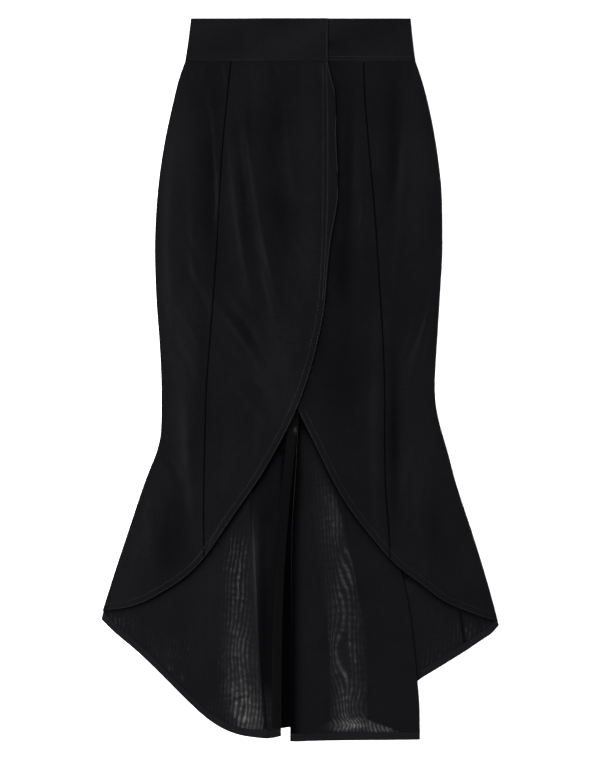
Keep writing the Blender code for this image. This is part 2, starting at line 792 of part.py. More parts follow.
def offset_line(line, distance):
    """The line moved to its upper side, square to itself."""
    points = []
    for k, spot in enumerate(line):
        before, after = line[max(k - 1, 0)], line[min(k + 1, len(line) - 1)]
        run_x, run_z = after.across - before.across, after.height - before.height
        run = math.hypot(run_x, run_z)
        across = spot.across - run_z / run * distance
        points.append(place(across, spot.down, spot.height + run_x / run * distance))
    return points


def make_godet():
    """The tail's inset, folded twice on itself between the two halves of the back, and its facing."""
    lines = [godet_line(row) for row in range(GODET_ROWS + 1)]
    outer = [offset_line(line, WALL / 2) for line in lines]
    inner = [offset_line(line, -WALL / 2) for line in lines]
    wall("tail_godet", outer, inner, SHEER)
    flap = [k for k, spot in enumerate(lines[0]) if spot.stretch == "flap"]
    low, high = WALL / 2 + GAP, WALL / 2 + GAP + FACING_WALL
    under = [[offset_line(line, low)[k] for k in flap] for line in lines[-2:]]
    over = [[offset_line(line, high)[k] for k in flap] for line in lines[-2:]]
    wall("hem_facing_godet", over, under, FACING)


def main():
    for old in list(bpy.data.objects):
        bpy.data.objects.remove(old)
    make_waistband()
    make_fronts()
    make_back()
    make_godet()


main()
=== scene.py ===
"""Looks for the long fishtail skirt: crisp black cloth laid flat, sheer where the tail is one layer.

The tables are in millimetres, as the skirt's own pattern is: "down" is the distance below the
waist's top edge and "across" the distance from the middle line, + to the right.
"""
import math
from collections import namedtuple

import bmesh
import bpy
import numpy as np
from mathutils import Matrix, Vector
from mathutils.bvhtree import BVHTree


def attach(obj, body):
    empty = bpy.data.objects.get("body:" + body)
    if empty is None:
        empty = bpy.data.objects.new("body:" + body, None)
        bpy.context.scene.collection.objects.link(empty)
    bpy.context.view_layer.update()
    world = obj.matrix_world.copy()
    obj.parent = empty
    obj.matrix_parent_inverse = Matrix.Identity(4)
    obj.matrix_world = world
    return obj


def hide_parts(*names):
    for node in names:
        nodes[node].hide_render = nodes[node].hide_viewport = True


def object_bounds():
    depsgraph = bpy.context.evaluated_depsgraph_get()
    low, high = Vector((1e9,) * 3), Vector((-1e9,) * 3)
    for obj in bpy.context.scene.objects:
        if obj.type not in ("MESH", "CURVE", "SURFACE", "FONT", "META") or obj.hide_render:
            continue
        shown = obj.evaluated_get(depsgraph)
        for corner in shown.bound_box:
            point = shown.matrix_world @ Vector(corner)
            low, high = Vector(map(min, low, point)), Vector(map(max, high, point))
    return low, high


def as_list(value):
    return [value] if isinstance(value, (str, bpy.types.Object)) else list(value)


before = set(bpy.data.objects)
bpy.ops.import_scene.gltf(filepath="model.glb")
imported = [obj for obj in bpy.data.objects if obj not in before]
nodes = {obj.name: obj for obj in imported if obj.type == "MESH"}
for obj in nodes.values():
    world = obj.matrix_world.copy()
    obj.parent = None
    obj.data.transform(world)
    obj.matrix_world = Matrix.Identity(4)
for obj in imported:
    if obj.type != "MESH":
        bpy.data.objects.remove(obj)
cad_low, cad_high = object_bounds()

MM = 0.001
LENGTH = (cad_high.y - cad_low.y) / MM
HALF_LENGTH = LENGTH / 2

# The photograph: its size, and the skirt's size in it
PHOTO_TALL = 759
PIXEL = 1.55 * MM
CAMERA_HEIGHT = 3.2
SENSOR = 36.0

Crease = namedtuple("Crease", "across0 down0 across1 down1 bow left right height")
Edge = namedtuple("Edge", "down across")
Patch = namedtuple("Patch", "across down wide tall strength")
Cut = namedtuple("Cut", "width length area rests_on")


def smooth(share):
    """0 to 1 with level ends, for a number or an array."""
    share = np.clip(share, 0.0, 1.0)
    return share * share * (3.0 - 2.0 * share)


def across_down(co):
    """The pattern's own places of points in metres."""
    return co[:, 0] / MM, HALF_LENGTH - co[:, 1] / MM


# Camera, floor and light

SOFTBOXES = (
    ("key_softbox", (-2.2, 0.25, 2.2), 1.5, 310.0),
    ("fill_softbox", (2.6, 0.4, 2.2), 1.8, 140.0),
    ("foot_softbox", (0.3, -2.6, 2.0), 1.6, 60.0),
)
ROOM_LIGHT = 0.36
GROUND_SIZE = 6.0
GROUND_TINT = (0.9, 0.9, 0.9, 1.0)


def place_camera():
    """Straight above the laid skirt, with the photograph's frame."""
    data = bpy.data.cameras.new("camera")
    data.sensor_width = SENSOR
    data.lens = SENSOR * CAMERA_HEIGHT / (PHOTO_TALL * PIXEL)
    camera = bpy.data.objects.new("camera", data)
    camera.location = (0.0, 0.0, CAMERA_HEIGHT)
    bpy.context.scene.collection.objects.link(camera)
    bpy.context.scene.camera = camera


def soft_light(name, place, size, power):
    """A square softbox aimed at the middle of the skirt."""
    data = bpy.data.lights.new(name, "AREA")
    data.shape = "SQUARE"
    data.size = size
    data.energy = power
    lamp = bpy.data.objects.new(name, data)
    lamp.location = place
    lamp.rotation_euler = (-Vector(place)).to_track_quat("-Z", "Y").to_euler()
    bpy.context.scene.collection.objects.link(lamp)


def light_studio():
    """A large softbox from the upper left, a weaker one from the right, and a pale room."""
    for softbox in SOFTBOXES:
        soft_light(*softbox)
    room = bpy.data.worlds.new("pale_room")
    room.use_nodes = True
    room.node_tree.nodes["Background"].inputs["Color"].default_value = (1.0, 1.0, 1.0, 1.0)
    room.node_tree.nodes["Background"].inputs["Strength"].default_value = ROOM_LIGHT
    bpy.context.scene.world = room
    bpy.context.scene.view_settings.view_transform = "Standard"
    bpy.context.scene.view_settings.look = "None"


def lay_floor():
    """A plain pale ground."""
    ground = bmesh.new()
    bmesh.ops.create_grid(ground, x_segments=1, y_segments=1, size=GROUND_SIZE)
    mesh = bpy.data.meshes.new("ground")
    ground.to_mesh(mesh)
    ground.free()
    floor = bpy.data.objects.new("ground", mesh)
    bpy.context.scene.collection.objects.link(floor)
    material = bpy.data.materials.new("pale_ground")
    material.use_nodes = True
    shader = material.node_tree.nodes["Principled BSDF"]
    shader.inputs["Base Color"].default_value = GROUND_TINT
    shader.inputs["Roughness"].default_value = 0.9
    shader.inputs["Specular IOR Level"].default_value = 0.0
    mesh.materials.append(material)


# Materials

class Nodes:
    """A small helper that adds and links shader nodes."""

    def __init__(self, material):
        material.use_nodes = True
        self.tree = material.node_tree
        self.shader = self.tree.nodes["Principled BSDF"]

    def add(self, kind, links=None, **values):
        node = self.tree.nodes.new(kind)
        for key, value in values.items():
            setattr(node, key, value)
        for socket, source in (links or {}).items():
            if hasattr(source, "is_linked"):
                self.tree.links.new(source, node.inputs[socket])
            else:
                node.inputs[socket].default_value = source
        return node

    def math(self, operation, first, second=0.0):
        return self.add("ShaderNodeMath", {0: first, 1: second}, operation=operation).outputs[0]

    def sum(self, *terms):
        total = terms[0]
        for term in terms[1:]:
            total = self.math("ADD", total, term)
        return total

    def times(self, *terms):
        total = terms[0]
        for term in terms[1:]:
            total = self.math("MULTIPLY", total, term)
        return total

    def line(self, distance, middle, width):
        """1 where the distance is the middle, falling off over the width to both sides."""
        off = self.math("DIVIDE", self.math("SUBTRACT", distance, middle), width)
        return self.math("EXPONENT", self.times(off, off, -1.0))

    def scaled(self, source, scale):
        return self.add("ShaderNodeMapping", {"Vector": source, "Scale": scale}).outputs["Vector"]

    def noise(self, source, scale, detail=2.0, distortion=0.0):
        links = {"Vector": source, "Scale": scale, "Detail": detail, "Distortion": distortion}
        return self.add("ShaderNodeTexNoise", links).outputs["Fac"]

    def remap(self, source, low, high, to_low, to_high):
        links = {"Value": source, "From Min": low, "From Max": high, "To Min": to_low, "To Max": to_high}
        return self.add("ShaderNodeMapRange", links).outputs["Result"]

    def attribute(self, name):
        return self.add("ShaderNodeAttribute", attribute_name=name).outputs["Fac"]

    def connect(self, source, socket):
        self.tree.links.new(source, self.shader.inputs[socket])


THREAD_PITCH = 0.42 * MM  # one thread of the weave
WEAVE_HEIGHT = 0.03  # heights in millimetres, read by the bump
SLUB_HEIGHT = 0.05
CRUMPLE_HEIGHT = 0.8
CRUMPLE_SCALE = (21.0, 13.0, 1.0)  # soft dents, about 50 by 80 mm
RUMPLE_HEIGHT = 0.26
RUMPLE_SCALE = 70.0  # smaller dents between them
FURROW_DEPTH = 0.10  # a row of stitches pulls the cloth down
PUCKER_HEIGHT = 0.11
PUCKER_PITCH = 6.2
PUCKER_REACH = 7.0
PUCKER_SWAY = 18.0  # how far, in radians, the puckers wander
SEAM_RIDGE_HEIGHT = 0.06
SEAM_RIDGE_AT = 3.6
SEAM_RIDGE_WIDE = 2.2
SEAM_WIDE = 1.2
FURROW_WIDE = 0.7
SEAM_DIP = 0.05
SEAM_SHADE = 0.85
FURROW_SHADE = 0.5
PRESSED_ROUGHNESS = 0.24  # where the cloth is pressed or lies in a fold


def weave_of(n, place):
    """Plain weave: threads over and under, and slubs along both ways."""
    waves = []
    for direction in ("X", "Y"):
        links = {"Vector": place, "Scale": 1.0 / (THREAD_PITCH * 20.0), "Distortion": 0.0}
        wave = n.add("ShaderNodeTexWave", links, wave_type="BANDS", bands_direction=direction)
        waves.append(wave.outputs["Fac"])
    slub_along = n.noise(n.scaled(place, (60.0, 900.0, 60.0)), 1.0, 3.0)
    slub_down = n.noise(n.scaled(place, (900.0, 60.0, 60.0)), 1.0, 3.0)
    return n.times(waves[0], waves[1]), n.sum(slub_along, slub_down)


def black_cloth(name, tint, roughness, specular, crumple=1.0, sheer=False):
    """Crisp black cloth. It reads these numbers of the piece, in millimetres where they are distances:
    row_away and row_along, from a stitched row; seam_away, from a seam; shade and pull, 0 to 1."""
    material = bpy.data.materials.new(name)
    n = Nodes(material)
    place = n.add("ShaderNodeTexCoord").outputs["Object"]
    weave, slubs = weave_of(n, place)
    cloud = n.noise(place, 9.0, 4.0, 0.6)
    dents = n.noise(n.scaled(place, CRUMPLE_SCALE), 1.0, 2.0, 0.7)
    small_dents = n.noise(place, RUMPLE_SCALE, 2.0, 0.5)
    row_away, seam_away = n.attribute("row_away"), n.attribute("seam_away")
    furrow, seam = n.line(row_away, 0.0, FURROW_WIDE), n.line(seam_away, 0.0, SEAM_WIDE)

    tone = n.times(n.remap(slubs, 0.6, 1.4, 0.84, 1.18), n.remap(cloud, 0.3, 0.7, 0.88, 1.12))
    lit = n.times(
        n.math("SUBTRACT", 1.0, n.attribute("shade")),
        n.math("SUBTRACT", 1.0, n.times(furrow, FURROW_SHADE)),
        n.math("SUBTRACT", 1.0, n.times(seam, SEAM_SHADE)),
    )
    # The piece's tone and shade scale the colour; on the fronts tone carries painted light, and shade
    # carries painted shade wherever a piece gives it
    tone = n.times(tone, n.attribute("tone"), lit)
    colour = n.add("ShaderNodeVectorMath", {0: tint, "Scale": tone}, operation="SCALE").outputs[0]
    n.connect(colour, "Base Color")
    rough = n.remap(n.sum(cloud, slubs), 0.9, 1.9, roughness - 0.05, roughness + 0.06)
    pressed = n.times(n.math("SUBTRACT", 1.0, lit), PRESSED_ROUGHNESS)
    n.connect(n.sum(n.times(rough, lit), pressed), "Roughness")
    n.shader.inputs["Specular IOR Level"].default_value = specular

    beat = n.times(n.attribute("row_along"), 2 * math.pi / PUCKER_PITCH)
    rows = n.math("SINE", n.sum(beat, n.times(cloud, PUCKER_SWAY)))
    pulls = n.times(rows, n.line(row_away, PUCKER_REACH, PUCKER_REACH), n.attribute("pull"), PUCKER_HEIGHT)
    ridges = n.sum(
        n.line(seam_away, SEAM_RIDGE_AT, SEAM_RIDGE_WIDE), n.line(seam_away, -SEAM_RIDGE_AT, SEAM_RIDGE_WIDE)
    )
    height = n.sum(
        n.times(weave, WEAVE_HEIGHT),
        n.times(slubs, SLUB_HEIGHT),
        n.times(dents, CRUMPLE_HEIGHT * crumple),
        n.times(small_dents, RUMPLE_HEIGHT * crumple),
        n.times(furrow, -FURROW_DEPTH),
        n.times(ridges, SEAM_RIDGE_HEIGHT),
        n.times(seam, -SEAM_DIP),
        pulls,
    )
    bump = n.add("ShaderNodeBump", {"Height": height, "Strength": 1.0, "Distance": MM})
    n.connect(bump.outputs["Normal"], "Normal")
    if sheer:
        let_light_through(n, place)
    return material


MOIRE_BROKEN = (70.0, 16.0, 1.0)  # the lines break up over a few millimetres
MOIRE_SWAY = 7.0  # how far, in radians, they wander
RIPPLE_PITCH = 11.0 * MM
RIPPLE_SWAY = 26.0
MOTTLE_SCALE = 210.0


def let_light_through(n, place):
    """The sheer weave: more light comes through along the fine lines where two weaves beat together."""
    sway = n.noise(n.scaled(place, (60.0, 22.0, 1.0)), 1.0, 3.0, 0.5)
    lines = n.math("SINE", n.sum(n.attribute("phase"), n.times(sway, MOIRE_SWAY)))
    broken = n.remap(n.noise(n.scaled(place, MOIRE_BROKEN), 1.0, 3.0, 0.5), 0.34, 0.6, 0.45, 1.0)
    lines = n.times(n.remap(lines, -0.5, 1.0, 0.0, 1.0), broken)
    down = n.add("ShaderNodeSeparateXYZ", {"Vector": place}).outputs["Y"]
    drift = n.noise(n.scaled(place, (16.0, 9.0, 1.0)), 1.0, 2.0, 0.6)
    ripple = n.math("SINE", n.sum(n.times(down, 2 * math.pi / RIPPLE_PITCH), n.times(drift, RIPPLE_SWAY)))
    ripple = n.remap(ripple, -1.0, 1.0, 0.84, 1.0)
    mottle = n.remap(n.noise(place, MOTTLE_SCALE, 2.0, 0.8), 0.3, 0.7, 0.72, 1.24)
    veil = n.times(n.sum(n.times(lines, 0.6), 0.4), ripple, mottle)
    through = n.times(veil, n.attribute("sheer"), n.math("SUBTRACT", 1.0, n.attribute("shade")))
    n.connect(n.math("SUBTRACT", 1.0, through), "Alpha")


def thread_of(name, tint):
    """Sewing thread: a fine twist, a little shinier than the cloth."""
    material = bpy.data.materials.new(name)
    n = Nodes(material)
    place = n.add("ShaderNodeTexCoord").outputs["Object"]
    twist = n.noise(n.scaled(place, (2600.0, 900.0, 900.0)), 1.0, 2.0)
    tone = n.remap(twist, 0.3, 0.7, 0.75, 1.25)
    colour = n.add("ShaderNodeVectorMath", {0: tint, "Scale": tone}, operation="SCALE").outputs[0]
    n.connect(colour, "Base Color")
    n.connect(n.remap(twist, 0.3, 0.7, 0.38, 0.5), "Roughness")
    n.shader.inputs["Specular IOR Level"].default_value = 0.2
    bump = n.add("ShaderNodeBump", {"Height": twist, "Strength": 0.6, "Distance": 0.1 * MM})
    n.connect(bump.outputs["Normal"], "Normal")
    return material


BLACK = (0.0019, 0.0019, 0.0023)
SHEER_BLACK = (0.0023, 0.0023, 0.0028)
BAND_BLACK = (0.0024, 0.0024, 0.0029)
FACING_BLACK = (0.0022, 0.0022, 0.0026)
THREAD_BLACK = (0.0050, 0.0050, 0.0058)


# Pattern lines that the creases, seams and stitches follow

OVER_EDGE = (
    Edge(67.0, 43.4), Edge(83.0, 46.5), Edge(111.0, 54.3), Edge(188.0, 56.6), Edge(281.0, 58.9),
    Edge(306.0, 55.0), Edge(343.0, 48.1), Edge(390.0, 42.9), Edge(449.0, 38.0), Edge(498.0, 28.4),
    Edge(545.0, 16.3), Edge(591.0, 0.8), Edge(638.0, -20.5), Edge(670.0, -37.7), Edge(710.0, -60.8),
    Edge(739.0, -80.9), Edge(776.0, -107.0), Edge(808.0, -128.4), Edge(835.0, -147.6),
    Edge(854.0, -164.3), Edge(872.7, -187.6), Edge(887.0, -210.3), Edge(902.9, -239.2),
    Edge(913.0, -268.2), Edge(916.5, -296.0),
)
UNDER_EDGE = (
    Edge(610.0, -1.7), Edge(667.0, 26.4), Edge(715.0, 49.6), Edge(750.0, 69.8), Edge(782.0, 92.9),
    Edge(808.0, 114.0), Edge(837.0, 138.6), Edge(851.1, 153.3), Edge(874.0, 184.5), Edge(905.7, 227.9),
    Edge(915.3, 251.1), Edge(923.0, 271.3), Edge(931.0, 295.0),
)
OVER_SEAM = (
    Edge(67.0, -107.0), Edge(136.0, -114.1), Edge(212.0, -120.9), Edge(312.0, -126.2),
    Edge(443.0, -134.9), Edge(535.0, -142.3), Edge(580.0, -145.1), Edge(661.0, -147.3),
    Edge(762.0, -149.1), Edge(835.0, -148.3),
)
UNDER_SEAM = (
    Edge(67.0, 98.7), Edge(109.0, 99.7), Edge(184.0, 105.4), Edge(302.0, 115.8), Edge(415.0, 123.2),
    Edge(525.0, 129.6), Edge(580.0, 131.0), Edge(675.0, 131.0), Edge(739.0, 133.0),
    Edge(791.0, 137.3), Edge(837.0, 139.5),
)
BACK_LEFT_SEAM = (
    Edge(640.0, -81.4), Edge(739.0, -76.6), Edge(819.0, -72.2), Edge(934.0, -66.7), Edge(985.0, -63.6),
    Edge(1061.0, -55.8), Edge(1102.0, -52.7),
)
BACK_RIGHT_SEAM = (Edge(840.0, 229.8), Edge(863.0, 235.6), Edge(920.0, 248.0), Edge(969.0, 255.0))
GODET_LEFT_SEAM = (
    Edge(594.0, -1.6), Edge(669.0, -8.5), Edge(746.0, -16.3), Edge(839.0, -24.0), Edge(932.0, -28.2),
    Edge(1025.0, -29.5), Edge(1099.0, -29.5),
)
# The fly's two stitched rows; the inner one turns into the hem's row below
FLY_INNER = (
    Edge(70.0, 35.4), Edge(200.0, 35.6), Edge(300.0, 35.0), Edge(380.0, 32.4), Edge(440.0, 28.6),
    Edge(470.0, 24.2),
)
FLY_OUTER = (Edge(70.0, 41.2), Edge(200.0, 43.0), Edge(300.0, 42.0), Edge(380.0, 38.6), Edge(436.0, 34.8))
HEM_ROW = 10.0  # the stitched row lies this far inside the turned hem
HEM_ROW_FROM = 470.0


def smooth_path(edges, step=8.0):
    """Points along a pattern line, evenly spaced, as an array of (across, down)."""
    points = np.array([(edge.across, edge.down) for edge in edges])
    lengths = np.concatenate([[0.0], np.cumsum(np.hypot(*np.diff(points, axis=0).T))])
    slopes = np.gradient(points, lengths, axis=0)
    at = np.linspace(0.0, lengths[-1], max(2, int(lengths[-1] / step)))
    k = np.clip(np.searchsorted(lengths, at, side="right") - 1, 0, len(lengths) - 2)
    run = (lengths[k + 1] - lengths[k])[:, None]
    s = ((at - lengths[k]) / run[:, 0])[:, None]
    return (
        (2 * s ** 3 - 3 * s ** 2 + 1) * points[k]
        + (s ** 3 - 2 * s ** 2 + s) * run * slopes[k]
        + (3 * s ** 2 - 2 * s ** 3) * points[k + 1]
        + (s ** 3 - s ** 2) * run * slopes[k + 1]
    )


def beside(path, distance):
    """The path moved sideways: + is to the right of one who walks up it, so to the skirt's right."""
    run = np.gradient(path, axis=0)
    run /= np.hypot(run[:, 0], run[:, 1])[:, None]
    return path + np.stack([run[:, 1], -run[:, 0]], axis=1) * distance


def from_path(x, d, path):
    """Signed distance from a path (+ to its right as it runs down) and the length run along it."""
    away = np.full(len(x), 1e9)
    side = np.ones(len(x))
    along = np.zeros(len(x))
    lengths = np.concatenate([[0.0], np.cumsum(np.hypot(*np.diff(path, axis=0).T))])
    for k in range(len(path) - 1):
        start, run = path[k], path[k + 1] - path[k]
        length = math.hypot(*run)
        share = np.clip(((x - start[0]) * run[0] + (d - start[1]) * run[1]) / length ** 2, 0.0, 1.0)
        off_x, off_d = x - start[0] - share * run[0], d - start[1] - share * run[1]
        distance = np.hypot(off_x, off_d)
        nearer = distance < away
        away[nearer] = distance[nearer]
        side[nearer] = np.where(off_x * run[1] - off_d * run[0] >= 0, 1.0, -1.0)[nearer]
        along[nearer] = lengths[k] + share[nearer] * length
    return away * side, along


over_edge = smooth_path(OVER_EDGE)
under_edge = smooth_path(UNDER_EDGE)
over_seam = smooth_path(OVER_SEAM)
under_seam = smooth_path(UNDER_SEAM)
over_hem_row = beside(over_edge[over_edge[:, 1] > HEM_ROW_FROM], -HEM_ROW)
over_row = np.concatenate([smooth_path(FLY_INNER)[:-1], over_hem_row])
under_row = beside(under_edge, HEM_ROW)


# Soft creases, in the cloth's own sizes: each has its own spread on its left and its right side

FRONT_CREASES = (
    # over panel: two long ridges from the band towards the knee, with troughs beside them
    Crease(-88.0, 76.0, -8.0, 530.0, -14.0, 5.0, 9.0, 1.0),
    Crease(-112.0, 110.0, -66.0, 480.0, -8.0, 6.0, 10.0, 0.9),
    Crease(-98.0, 120.0, -78.0, 330.0, -4.0, 7.0, 7.0, -0.7),
    Crease(-74.0, 84.0, -2.0, 330.0, -18.0, 14.0, 22.0, -1.7),
    Crease(-20.0, 110.0, 4.0, 300.0, -5.0, 9.0, 18.0, 1.0),
    Crease(-62.0, 280.0, 4.0, 450.0, -8.0, 9.0, 13.0, -1.5),
    Crease(-22.0, 330.0, 22.0, 400.0, 4.0, 4.0, 7.0, 0.7),
    Crease(-14.0, 300.0, 26.0, 352.0, 3.0, 4.0, 6.0, -0.7),
    Crease(-30.0, 380.0, 18.0, 470.0, -5.0, 6.0, 10.0, 0.8),
    Crease(-74.0, 300.0, -44.0, 450.0, -6.0, 8.0, 8.0, -0.9),
    Crease(-56.0, 440.0, 8.0, 560.0, -6.0, 10.0, 12.0, 0.8),
    # diagonals above the knee on the left
    Crease(-138.0, 418.0, -58.0, 528.0, 7.0, 6.0, 10.0, -1.6),
    Crease(-134.0, 440.0, -50.0, 560.0, 6.0, 5.0, 8.0, 1.5),
    Crease(-134.0, 500.0, -36.0, 606.0, 6.0, 5.0, 9.0, -1.6),
    Crease(-120.0, 516.0, -44.0, 590.0, 5.0, 4.0, 6.0, 1.0),
    Crease(-108.0, 556.0, -40.0, 648.0, 4.0, 7.0, 9.0, 1.0),
    Crease(-70.0, 360.0, -30.0, 500.0, 4.0, 6.0, 9.0, 1.0),
    Crease(-46.0, 500.0, -20.0, 640.0, 6.0, 8.0, 14.0, -0.6),
    # left side panel
    Crease(-154.0, 80.0, -134.0, 380.0, 4.0, 14.0, 9.0, -1.6),
    Crease(-196.0, 130.0, -190.0, 540.0, -8.0, 12.0, 18.0, 0.9),
    Crease(-168.0, 200.0, -156.0, 480.0, -4.0, 6.0, 10.0, 0.6),
    Crease(-186.0, 372.0, -138.0, 470.0, 3.0, 5.0, 7.0, -0.8),
    Crease(-178.0, 330.0, -150.0, 400.0, 2.0, 4.0, 6.0, -0.5),
    Crease(-200.0, 430.0, -150.0, 520.0, 3.0, 6.0, 9.0, 0.7),
    Crease(-206.0, 480.0, -158.0, 575.0, 3.0, 6.0, 8.0, -0.6),
    Crease(-222.0, 665.0, -186.0, 724.0, 5.0, 4.0, 7.0, -1.0),
    Crease(-204.0, 640.0, -164.0, 840.0, 6.0, 11.0, 17.0, -1.1),
    Crease(-178.0, 560.0, -162.0, 830.0, 0.0, 9.0, 10.0, 0.9),
    Crease(-236.0, 700.0, -214.0, 880.0, -4.0, 12.0, 16.0, 0.7),
    Crease(-90.0, 600.0, -112.0, 760.0, 0.0, 12.0, 14.0, 0.8),
    Crease(-66.0, 590.0, -82.0, 700.0, 0.0, 7.0, 9.0, -0.6),
    # under panel beside the fly, and its blister
    Crease(62.0, 90.0, 58.0, 250.0, 0.0, 4.0, 7.0, 0.6),
    Crease(78.0, 90.0, 60.0, 440.0, 4.0, 8.0, 13.0, -1.5),
    Crease(90.0, 150.0, 104.0, 440.0, 2.0, 9.0, 7.0, 0.8),
    Crease(96.0, 270.0, 90.0, 332.0, 6.0, 5.0, 6.0, 0.8),
    Crease(101.0, 300.0, 108.0, 340.0, 0.0, 4.0, 4.0, -0.6),
    Crease(52.0, 300.0, 70.0, 600.0, -4.0, 14.0, 20.0, 0.8),
    Crease(84.0, 440.0, 92.0, 700.0, 2.0, 14.0, 18.0, -0.8),
    Crease(116.0, 480.0, 118.0, 800.0, 0.0, 8.0, 8.0, 0.9),
    # right side panel
    Crease(152.0, 74.0, 126.0, 350.0, 6.0, 11.0, 12.0, -1.6),
    Crease(168.0, 130.0, 142.0, 470.0, 6.0, 9.0, 15.0, 1.3),
    Crease(196.0, 150.0, 186.0, 420.0, 4.0, 12.0, 12.0, 0.6),
    Crease(202.0, 395.0, 140.0, 575.0, 6.0, 6.0, 10.0, -2.0),
    Crease(208.0, 410.0, 156.0, 600.0, 6.0, 7.0, 9.0, 1.2),
    Crease(208.0, 500.0, 160.0, 680.0, 6.0, 8.0, 10.0, 0.9),
    Crease(196.0, 545.0, 168.0, 670.0, 4.0, 7.0, 7.0, -1.2),
    Crease(206.0, 560.0, 200.0, 610.0, 5.0, 4.0, 5.0, 0.9),
    Crease(142.0, 590.0, 150.0, 815.0, 4.0, 10.0, 12.0, -1.2),
    Crease(186.0, 620.0, 150.0, 760.0, 4.0, 8.0, 9.0, 0.7),
    Crease(186.0, 640.0, 214.0, 880.0, -6.0, 12.0, 15.0, 1.0),
    Crease(232.0, 680.0, 258.0, 880.0, -4.0, 10.0, 14.0, -0.8),
    # short pulls at the waist seam
    Crease(-40.0, 64.0, -30.0, 96.0, 3.0, 3.0, 4.0, 0.7),
    Crease(-30.0, 66.0, -38.0, 92.0, -3.0, 3.0, 3.5, -0.6),
    Crease(-120.0, 66.0, -112.0, 104.0, 1.0, 3.0, 4.0, 0.5),
    Crease(-150.0, 64.0, -146.0, 92.0, 0.0, 3.5, 3.5, 0.4),
    Crease(4.0, 64.0, 12.0, 104.0, 2.0, 4.0, 5.0, 0.5),
    Crease(24.0, 66.0, 34.0, 118.0, 3.0, 4.0, 6.0, -0.7),
    Crease(60.0, 64.0, 63.0, 96.0, 0.0, 3.0, 4.0, -0.6),
    Crease(160.0, 68.0, 150.0, 112.0, 0.0, 5.0, 5.0, -0.8),
)
# Painted light (+) and painted shade (-): where the cloth reads lighter or darker as its nap and the broad
# swells take the light
FRONT_PAINTED_LIGHT_AND_SHADE = (
    Patch(-136.0, 240.0, 17.0, 150.0, -0.6),
    Patch(-201.0, 204.0, 24.0, 140.0, 0.25),
    Patch(-86.0, 245.0, 9.0, 110.0, -0.5),
    Patch(-38.0, 165.0, 18.0, 62.0, -0.5),
    Patch(-32.0, 315.0, 19.0, 70.0, -0.45),
    Patch(12.0, 188.0, 18.0, 90.0, 0.25),
    Patch(12.0, 359.0, 14.0, 60.0, 0.3),
    Patch(76.0, 250.0, 10.0, 120.0, -0.45),
    Patch(65.0, 382.0, 14.0, 70.0, -0.5),
    Patch(144.0, 200.0, 13.0, 110.0, -0.55),
    Patch(180.0, 235.0, 20.0, 140.0, 0.25),
    Patch(-150.0, 540.0, 10.0, 80.0, -0.3),
    Patch(-185.0, 560.0, 16.0, 130.0, 0.25),
    Patch(-202.0, 810.0, 22.0, 70.0, -0.4),
    Patch(-82.0, 480.0, 20.0, 44.0, -0.35),
    Patch(-30.0, 540.0, 28.0, 80.0, 0.35),
    Patch(-100.0, 700.0, 34.0, 70.0, 0.15),
    Patch(64.0, 560.0, 38.0, 110.0, -0.35),
    Patch(117.0, 620.0, 6.0, 150.0, 0.3),
    Patch(145.0, 640.0, 9.0, 120.0, -0.65),
    Patch(190.0, 700.0, 26.0, 90.0, 0.2),
    Patch(206.0, 790.0, 12.0, 60.0, -0.25),
)
BACK_CREASES = (
    Crease(-150.0, 860.0, -146.0, 1090.0, 3.0, 14.0, 18.0, 1.0),
    Crease(-204.0, 880.0, -190.0, 1040.0, 4.0, 12.0, 12.0, 0.9),
    Crease(-256.0, 900.0, -246.0, 990.0, 0.0, 10.0, 12.0, 0.6),
    Crease(252.0, 880.0, 262.0, 980.0, 0.0, 9.0, 9.0, 0.5),
)
UNDERSIDE_CREASES = (
    Crease(-60.0, 180.0, -96.0, 500.0, 8.0, 12.0, 16.0, 0.8),
    Crease(-24.0, 260.0, -40.0, 520.0, 4.0, 10.0, 12.0, 0.6),
    Crease(58.0, 220.0, 84.0, 500.0, -8.0, 14.0, 12.0, 0.7),
    Crease(-160.0, 240.0, -150.0, 560.0, 4.0, 12.0, 12.0, 0.6),
    Crease(150.0, 260.0, 146.0, 600.0, -4.0, 12.0, 14.0, 0.6),
)


def crease_height(table, x, d):
    """Height of all the creases of a table at these places, in millimetres."""
    total = np.zeros(len(x))
    for crease in table:
        run_x, run_d = crease.across1 - crease.across0, crease.down1 - crease.down0
        length = math.hypot(run_x, run_d)
        away_x, away_d = x - crease.across0, d - crease.down0
        along = (away_x * run_x + away_d * run_d) / length ** 2
        inside = np.clip(along, 0.0, 1.0)
        aside = (away_x * run_d - away_d * run_x) / length - crease.bow * 4 * inside * (1 - inside)
        fade = smooth(along / 0.35) * smooth((1 - along) / 0.35)
        width = np.where(aside > 0, crease.right, crease.left)
        total += crease.height * fade * np.exp(-((aside / width) ** 2))
    return total


def patches(table, x, d):
    """The sum of a table's soft patches at these places."""
    total = np.zeros(len(x))
    for patch in table:
        off = ((x - patch.across) / patch.wide) ** 2 + ((d - patch.down) / patch.tall) ** 2
        total += patch.strength * np.exp(-off)
    return total


# Cloth shells: each stands on its solid's form

LEVELS = 3
SHARP = math.radians(35)
FLAT_PAIR = math.radians(12)


